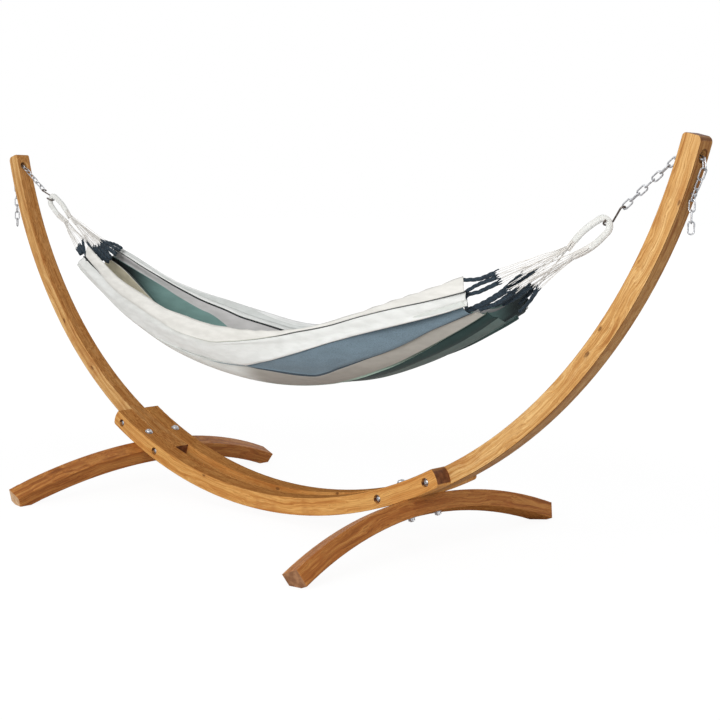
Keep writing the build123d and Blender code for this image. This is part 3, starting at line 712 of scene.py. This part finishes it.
def trough(share, angle, out=0.0):
    """Points of the cloth's mean surface.

    Share runs from -1 at the left end to 1 at the right end. Angle runs from 0 at the near
    rim through the low line to pi at the far rim. Out is the distance outwards.
    """
    given = (np.asarray(value, float) for value in (share, angle, out))
    share, angle, out = np.broadcast_arrays(*given)
    right = share > 0
    amount = abs(share)
    x = CLOTH_LOW[0] + amount * (np.where(right, CLOTH_REACH[1], CLOTH_REACH[0]) - CLOTH_LOW[0])
    z = CLOTH_LOW[1] + CLOTH_BEND * (x - CLOTH_LOW[0]) ** 2
    slope = np.arctan(2 * CLOTH_BEND * (x - CLOTH_LOW[0]))
    half = HALF_WIDTH + amount**2 * (np.where(right, END_HALF_WIDTH[1], END_HALF_WIDTH[0]) - HALF_WIDTH)
    sag = SAG + amount**2 * (END_SAG - SAG)
    near = smooth_values(*zip(*NEAR_LIFT), share.ravel()).reshape(share.shape)
    far = smooth_values(*zip(*FAR_LIFT), share.ravel()).reshape(share.shape)
    tall = sag + MM * np.where(angle < pi / 2, near, far)
    y = -(half + out) * np.cos(angle)
    z = z + LEFT_RISE * eased((-share - LEFT_RISE_START) / LEFT_RISE_RUN) * np.sin(angle) ** 2
    rise = (sag + out) * (1 - np.sin(angle)) + (tall - sag) * (1 - np.sin(angle)) - out
    return np.stack([x - rise * np.sin(slope), y, z + rise * np.cos(slope)], axis=-1)


class Wall:
    """Angles round the trough for distances along its wall from either rim."""

    def __init__(self):
        self.shares = np.linspace(-WALL_REACH, WALL_REACH, WALL_COLUMNS)
        self.angles = np.linspace(0, pi, WALL_ROWS)
        points = trough(self.shares[:, None], self.angles[None, :])
        steps = np.linalg.norm(np.diff(points, axis=1), axis=2)
        self.runs = np.concatenate([np.zeros((len(self.shares), 1)), np.cumsum(steps, axis=1)], axis=1)

    def angle(self, share, run, far):
        place = (share - self.shares[0]) / (self.shares[1] - self.shares[0])
        below = np.clip(place.astype(int), 0, len(self.shares) - 2)
        found = np.empty(len(share))
        for index, (row, part) in enumerate(zip(below, place - below)):
            runs = self.runs[row] * (1 - part) + self.runs[row + 1] * part
            wanted = runs[-1] - run[index] if far else run[index]
            found[index] = np.interp(wanted, runs, self.angles)
        return found


def make_cloth():
    """Striped cloth with its pleats, as one sheet gathered at both ends."""
    evenly = np.linspace(-1, 1, SHEET_COLUMNS)
    gather = np.clip((abs(evenly) - 0.6) / 0.4, 0, 1) ** 2
    wall = Wall()
    random = np.random.default_rng(3)
    wrinkles = random.uniform(WRINKLE_LEAST, WRINKLE_MOST, (WRINKLES, len(WRINKLE_MOST)))
    lines = [(line, False) for line in NEAR_LINES] + [(line, True) for line in FAR_LINES]

    def line_run(line, far, share):
        """Distance from the rim, distance outwards and angle of a line at its shares."""
        shares, across, out = zip(*line[3])
        across = MM * smooth_values(shares, across, np.clip(share, -1, 1))
        out = MM * smooth_values(shares, out, np.clip(share, -1, 1))
        out = out + (FAR_FOLD if far else NEAR_FOLD) * eased(-across / FOLD_EASE)
        return across, out, wall.angle(share, abs(across), far)

    def ripple(turn):
        """Pleats and wrinkles that stand out from the cloth, one row at a time."""
        height = 0.0016 * np.sin(5 * turn + 5 * evenly + 1) + 0.0010 * np.sin(13 * turn - 9 * evenly)
        height += 0.0035 * gather * np.sin(17 * turn + np.sign(evenly))
        for waves, along_waves, size, phase in wrinkles:
            height += size * np.sin(waves * turn + along_waves * evenly + phase)
        return height

    grid = []
    marks = []
    for index, ((first, far_first), (second, far_second)) in enumerate(zip(lines, lines[1:])):
        last = index == len(lines) - 2
        for step in range(STEPS_A_STRIPE + last):
            part = step / STEPS_A_STRIPE
            left_reach, right_reach = (
                MM * (a + (b - a) * part) for a, b in zip(first[2], second[2])
            )
            share = evenly + np.where(evenly > 0, right_reach, -left_reach) * abs(evenly) ** 5
            across_a, out_a, angle_a = line_run(first, far_first, share)
            across_b, out_b, angle_b = line_run(second, far_second, share)
            out = out_a + (out_b - out_a) * eased(part)
            if far_first == far_second:
                across = across_a + (across_b - across_a) * part
                angle = wall.angle(share, abs(across), far_first)
            else:
                angle = angle_a + (angle_b - angle_a) * part
            grid.append(trough(share, angle, out + ripple(2 * pi * (index + part) / len(lines))))
            marks.append(index + part)
    faces = []
    for row in range(len(grid) - 1):
        for column in range(SHEET_COLUMNS - 1):
            here = row * SHEET_COLUMNS + column
            faces.append((here, here + 1, here + SHEET_COLUMNS + 1, here + SHEET_COLUMNS))
    mesh = bpy.data.meshes.new("hammock_sheet")
    mesh.from_pydata(np.concatenate(grid).tolist(), [], faces)
    stripe = mesh.attributes.new("stripe", "FLOAT", "POINT")
    stripe.data.foreach_set("value", np.repeat(marks, SHEET_COLUMNS) / (len(lines) - 1))
    lengthwise = mesh.attributes.new("lengthwise", "FLOAT", "POINT")
    lengthwise.data.foreach_set("value", np.tile(evenly, len(grid)))
    return mesh


# Colour changes along the cloth, most of them painted shade and painted light as marked
# below: from which line to which, the shares of the length between which the new colour
# eases in, and the colour
STRIPE_CHANGES = (
    # Painted shade: at the left the dark line gives way to the pale olive-grey of the shaded crease
    ("line_top", "line_low", 0.26, 0.14, (200, 203, 190)),
    # Painted shadow: a dark gap along the rim at the far left
    ("line_top", "line_low", -0.84, -0.87, (22, 26, 26)),
    ("taupe_low", "mint_low", 0.45, 0.75, (112, 122, 112)),
    # The next two turn the lower stripes pale towards the left, lightened further as painted light on
    # the cloth's bottom
    ("slate_low", "green_low", 0.05, -0.1, (234, 236, 232)),
    ("green_low", "ridge_foot", 0.05, -0.14, (226, 228, 224)),
    ("white_back", "taupe_top", -0.13, -0.24, (222, 225, 221)),
    # Towards the right the ridge's bands turn dark green, deepened as painted shade inside the trough
    ("ridge_foot", "teal_low", 0.0, 0.2, (56, 76, 74)),
    # Painted shade: the far wall's inside at the right end
    ("ridge_edge", "far_rim", 0.84, 0.97, (34, 46, 46)),
    # Painted shadow: a dark gap beside the ridge at the left
    ("ridge_edge", "lilac_low", -0.7, -0.92, (30, 40, 40)),
)


def cloth_material():
    """Woven cotton in stripes, with its weave and a little fading."""
    shader = Shader("striped_cloth")
    times = partial(shader.math, "MULTIPLY")
    stripe = shader.node("Attribute", {}, attribute_name="stripe").outputs["Fac"]
    along = shader.node("Attribute", {}, attribute_name="lengthwise").outputs["Fac"]
    place = shader.place()
    lines = NEAR_LINES + FAR_LINES
    names = [line[0] for line in lines]
    width = 1 / (len(lines) - 1)
    stops = [(index * width + STRIPE_EDGE, srgb(*line[1])) for index, line in enumerate(lines[:-1])]
    colour = shader.steps(stripe, stops, "CONSTANT")

    def between(first, last):
        """Mask of the stripes from one line to another."""
        low, high = (names.index(name) * width for name in (first, last))
        return shader.math("COMPARE", stripe, (low + high) / 2, (high - low) / 2)

    def stretched(lengthwise, crosswise):
        return shader.vector("MULTIPLY", place, (lengthwise, crosswise, crosswise))

    for first, last, near, far, new in STRIPE_CHANGES:
        share = times(between(first, last), shader.span(along, near, far))
        colour = shader.mix(share, colour, srgb(*new))
    clouds = shader.noise(stretched(1.0, 4.0), 14.0, 4)
    slubs = shader.noise(stretched(0.35, 4.0), 170.0, 3, 0.7)
    denim = shader.noise(stretched(0.5, 1.4), 420.0, 3, 0.75)
    weave = shader.noise(stretched(0.7, 1.0), 1500.0, 2)
    colour = shader.mix(shader.span(clouds, 0.3, 0.7, 0, 0.16), colour, srgb(150, 150, 140), "MULTIPLY")
    colour = shader.mix(shader.span(slubs, 0.45, 0.8, 0, 0.3), colour, srgb(190, 196, 200), "SOFT_LIGHT")
    flecks = times(shader.span(denim, 0.42, 0.68, 0, 0.5), between("slate_top", "slate_low"))
    colour = shader.mix(flecks, colour, srgb(74, 88, 98))
    return shader.finish(
        Base_Color=colour,
        Roughness=0.88,
        Specular_IOR_Level=0.2,
        Sheen_Weight=0.15,
        Normal=shader.bump(shader.math("ADD", slubs, times(weave, 0.7)), 0.0008, 0.45),
    )


# Headings of each end, near ones first: which leg of the loop their cords run to (1 the
# upper, -1 the lower), radius, and points from the cloth to the knot, all in mm
HEADING_RUNS = {
    "left": (
        (-1, 5.0, ((-1038, -54, 870), (-1054, -52, 880), (-1070, -50, 888))),
        (-1, 6.0, ((-1050, -54, 862), (-1068, -50, 873), (-1084, -46, 881))),
        (-1, 6.0, ((-1064, -52, 856), (-1080, -48, 866), (-1094, -44, 874))),
        (-1, 4.0, ((-1018, -56, 832), (-1034, -54, 864), (-1056, -48, 904))),
        (-1, 4.0, ((-984, -40, 862), (-1016, -36, 880), (-1048, -30, 898))),
        (1, 7.5, ((-934, -18, 830), (-976, -16, 852), (-1020, -12, 877))),
        (1, 6.5, ((-940, -4, 842), (-980, 0, 860), (-1026, 6, 882))),
        (1, 6.0, ((-950, 8, 846), (-984, 12, 868), (-1022, 16, 888))),
        (1, 6.0, ((-932, 16, 858), (-968, 18, 873), (-1010, 20, 888))),
        (1, 5.5, ((-936, 22, 862), (-976, 24, 876), (-1034, 26, 897))),
        (1, 5.0, ((-952, 30, 878), (-986, 32, 892), (-1040, 32, 905))),
        (1, 5.5, ((-934, 38, 874), (-984, 38, 888), (-1026, 36, 900))),
        (1, 4.5, ((-930, 44, 882), (-968, 46, 894), (-1030, 44, 903))),
        (1, 5.0, ((-955, -26, 838), (-990, -24, 858), (-1026, -18, 880))),
    ),
    "right": (
        (1, 5.5, ((872, -82, 845), (928, -78, 850), (980, -72, 868))),
        (1, 4.5, ((876, -80, 806), (918, -76, 830), (984, -68, 856))),
        (1, 5.0, ((884, -72, 762), (877, -70, 792), (930, -66, 815), (984, -60, 840))),
        (1, 8.0, ((868, -64, 750), (936, -50, 782), (998, -42, 818))),
        (-1, 6.0, ((915, -50, 760), (965, -38, 780), (1012, -26, 812))),
        (1, 4.5, ((950, -4, 806), (978, 0, 832), (1018, 4, 862))),
        (1, 4.5, ((966, 18, 820), (1008, 18, 846), (1056, 15, 874))),
        (-1, 6.0, ((965, 30, 790), (1000, 28, 808), (1040, 24, 832))),
        (-1, 5.5, ((960, 0, 776), (1004, 4, 798), (1044, 8, 828))),
        (-1, 5.0, ((984, 48, 776), (1006, 46, 796), (1032, 42, 818))),
        (-1, 4.5, ((1004, 22, 756), (1040, 18, 786), (1070, 12, 820))),
        (-1, 4.0, ((955, -30, 772), (985, -22, 790), (1022, -14, 826))),
    ),
}


def add_finger(plaits, knot, run, thick, lean, random):
    """Short plaited end that leans out of a heading's knot. Returns its tip."""
    beside = unit(np.cross(run, LEVEL))
    across = np.cross(run, beside)
    tip = knot + run * (0.006 + 0.012 * random.random()) + beside * 1.1 * thick * lean
    tip = tip + across * thick * 0.5 * (random.random() - 0.5)
    root = knot - run * 0.012
    swell = knot - run * 0.002 + beside * 0.5 * thick * lean
    nub = resample([root, swell, tip, tip + run * 0.003], 0.0015)
    plaits.add(nub, np.linspace(0.5, 0.28, len(nub)) * thick, 6)
    return tip


def clew_line(name, side, tip, run, to_leg, random):
    """Middle of a clew cord that leaves a finger's tip and goes into a leg of the end loop."""
    apex, ahead, up = loop_frame(name, side)
    turn = 2 * pi * random.random()
    spread = ROPE_RADIUS * 0.75 * sqrt(random.random())
    leg = LOOP_LENGTH * (UPPER_ENTRY if to_leg > 0 else LOWER_ENTRY)
    middle = apex + ahead * leg + up * (LOOP_LEG_GAP * 1.5 * to_leg)
    entry = middle + spread * (up * cos(turn) + LEVEL * sin(turn))
    inside = entry - ahead * 0.03 + up * 0.004 * to_leg
    sag = UPRIGHT * -0.004 * random.random()
    near_tip = tip + unit(entry - tip) * 0.012
    return resample([tip - run * 0.004, near_tip, (tip + entry) / 2 + sag, entry, inside], 0.003)


def make_headings(name, side, navy, white):
    """Plaited navy loops with the white clew cords that run from them to the end loop."""
    plaits = Strands()
    cords = Strands()
    random = np.random.default_rng(11 + side)
    for upper, radius, places in HEADING_RUNS[name]:
        thick = (1.05 + 0.3 * random.random()) * radius * MM
        line = resample(MM * np.array(places), 0.0015)
        tangents, _, _ = frames(line)
        widen = 1 + 0.35 * np.linspace(0, 1, len(line)) ** 3
        phase = 6 * random.random()
        for strand in twisted(line, HEADING_STRANDS, 0.42 * thick, HEADING_PITCH, phase):
            plaits.add(strand, 0.6 * thick * widen, 8)
        for lean in FINGER_LEANS:
            crossing = random.random() < CROSSING_SHARE[name]
            to_leg = -upper if crossing else upper
            tip = add_finger(plaits, line[-1], tangents[-1], thick, lean, random)
            cord = clew_line(name, side, tip, tangents[-1], to_leg, random)
            phase = 6 * random.random()
            for strand in twisted(cord, CORD_STRANDS, CORD_STRAND_OFFSET, CORD_PITCH, phase):
                cords.add(strand, CORD_STRAND_RADIUS, 5)
    return plaits.make(name + "_plaits", navy), cords.make(name + "_clews", white)


def set_background():
    """White surroundings that light the part softly and evenly."""
    world = bpy.data.worlds.new("studio")
    bpy.context.scene.world = world
    world.use_nodes = True
    world.node_tree.nodes.clear()
    nodes = Nodes(world.node_tree)
    path = nodes.node("LightPath", {}).outputs
    seen = nodes.math("ADD", path["Is Camera Ray"], path["Is Glossy Ray"], clamp=True)
    light = nodes.node("Background", {"Color": WHITE, "Strength": SURROUNDINGS}).outputs[0]
    white = nodes.node("Background", {"Color": WHITE, "Strength": 1.0}).outputs[0]
    mixed = nodes.node("MixShader", {0: seen, 1: light, 2: white}).outputs[0]
    nodes.node("OutputWorld", {"Surface": mixed})


def make_floor():
    """Pale floor that shows white and keeps a faint shadow."""
    mesh = bpy.data.meshes.new("floor")
    corners = [(x * FLOOR_HALF, y * FLOOR_HALF, 0) for x, y in ((-1, -1), (1, -1), (1, 1), (-1, 1))]
    mesh.from_pydata(corners, [], [(0, 1, 2, 3)])
    material = bpy.data.materials.new("floor")
    material.use_nodes = True
    material.node_tree.nodes.clear()
    mesh.materials.append(material)
    nodes = Nodes(material.node_tree)
    away = nodes.vector("LENGTH", nodes.place(), output="Value")
    fade = nodes.node("MapRange", {"Value": away, **FLOOR_FADE}).outputs[0]
    seen = nodes.node("LightPath", {}).outputs["Is Camera Ray"]
    diffuse = nodes.node("BsdfDiffuse", {"Color": FLOOR_COLOUR}).outputs[0]
    glow = nodes.node("Emission", {"Strength": FLOOR_GLOW}).outputs[0]
    mixed = nodes.node("MixShader", {0: nodes.math("MULTIPLY", seen, fade), 1: diffuse, 2: glow})
    nodes.node("OutputMaterial", {"Surface": mixed.outputs[0]})
    floor = bpy.data.objects.new("floor", mesh)
    bpy.context.scene.collection.objects.link(floor)


def add_lamp(name, place, target, size, power):
    lamp = bpy.data.lights.new(name, "AREA")
    lamp.shape = "DISK"
    lamp.size = size
    lamp.energy = power
    holder = bpy.data.objects.new(name, lamp)
    holder.location = place
    holder.rotation_euler = (Vector(target) - Vector(place)).to_track_quat("-Z", "Y").to_euler()
    bpy.context.scene.collection.objects.link(holder)


def add_camera():
    """Low three-quarter view from the front right."""
    yaw, pitch, roll = (radians(angle) for angle in CAMERA_TURNS)
    ahead = Vector((-sin(yaw) * cos(pitch), cos(yaw) * cos(pitch), -sin(pitch)))
    level = Vector((cos(yaw), sin(yaw), 0))
    above = level.cross(ahead)
    right = level * cos(roll) + above * sin(roll)
    up = above * cos(roll) - level * sin(roll)
    turned = Matrix((right, up, -ahead)).transposed().to_4x4()
    camera = bpy.data.objects.new("camera", bpy.data.cameras.new("camera"))
    camera.data.sensor_width = CAMERA_SENSOR
    camera.data.lens = CAMERA_LENS
    camera.matrix_world = Matrix.Translation(CAMERA_PLACE) @ turned
    bpy.context.scene.collection.objects.link(camera)
    bpy.context.scene.camera = camera


def set_material(piece, material):
    piece.data.materials.clear()
    piece.data.materials.append(material)


for leftover in list(bpy.data.objects):
    bpy.data.objects.remove(leftover)
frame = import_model()
nodes = frame["nodes"]

bpy.context.scene.view_settings.view_transform = "Standard"
set_background()
make_floor()
add_camera()
add_lamp("key", (1.2, -5.0, 2.2), (0, 0, 0.6), 3.0, 125)
add_lamp("fill", (4.5, -1.5, 3.0), (0.3, 0, 0.5), 3.0, 30)

woods = {}
bow_arc = (BOW_CENTRE, X, DOWN, BOW_RADIUS)
for row, seed in (("front", 1), ("rear", 2)):
    name = row + "_beam_wood"
    woods[row + "_side_beam"] = wood(name, bow_arc, seed, BEAM_TONE, END_GRAIN_AND_PAINTED_SHADE, knots=BEAM_KNOTS[row])
for name, side in SIDES:
    tip_arc = (Vector((side * TIP_CENTRE_X, 0, TIP_CENTRE_Z)), X, DOWN, TIP_RADIUS)
    woods[name + "_arm"] = wood(
        name + "_arm_wood", tip_arc, 3 + side, ARM_TONE, END_GRAIN_AND_PAINTED_SHADE, ARM_PAINTED_SHADE, ARM_KNOTS[name]
    )
    slope = side * FOOT_SLOPE
    inward = Vector((-sin(slope), 0, cos(slope)))
    foot_centre = BOW_CENTRE - inward * (BOW_RADIUS + BEAM_DEPTH) - inward * (FOOT_RADIUS - FOOT_CROWN)
    foot_arc = (foot_centre, Y, inward, FOOT_RADIUS)
    woods[name + "_foot"] = wood(name + "_foot_wood", foot_arc, 6 + side, FOOT_TONE, FOOT_ENDS[name])

zinc = steel("zinc_steel", srgb(208, 209, 212), srgb(150, 152, 156), 0.3)
dark_steel = steel("dark_steel", srgb(128, 118, 112), srgb(84, 76, 72), 0.3)
white_rope = yarn("white_rope", srgb(248, 249, 247), srgb(224, 225, 219), 0.3, 0.15)
white_cord = yarn("white_cord", srgb(250, 249, 246), srgb(224, 218, 210), 0.3, 0.3)
navy = yarn("navy_braid", srgb(60, 76, 88), srgb(22, 28, 36), 0.15)

for name, material in woods.items():
    set_material(nodes[name], material)
for name, node in nodes.items():
    if name.endswith(("bolts", "washers", "nuts", "pin", "screw")) or "chain" in name:
        set_material(node, zinc)
    if name.endswith("s_hook"):
        set_material(node, dark_steel)

sheet = add_object("hammock_sheet", make_cloth(), cloth_material())
thickness = sheet.modifiers.new("thickness", "SOLIDIFY")
thickness.thickness = SHEET_THICKNESS
thickness.offset = 0
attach(sheet, "hammock")
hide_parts("hammock_cloth")

for name, side in SIDES:
    bound, filling = make_end_loop(name, side, white_rope, white_cord)
    for piece in (bound, filling):
        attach(piece, "hammock")
    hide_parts(name + "_end_loop", name + "_whippings")
    plaits, clews = make_headings(name, side, navy, white_cord)
    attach(plaits, "hammock")
    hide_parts(name + "_headings")
    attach(clews, "hammock")
    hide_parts(name + "_clew_cords")
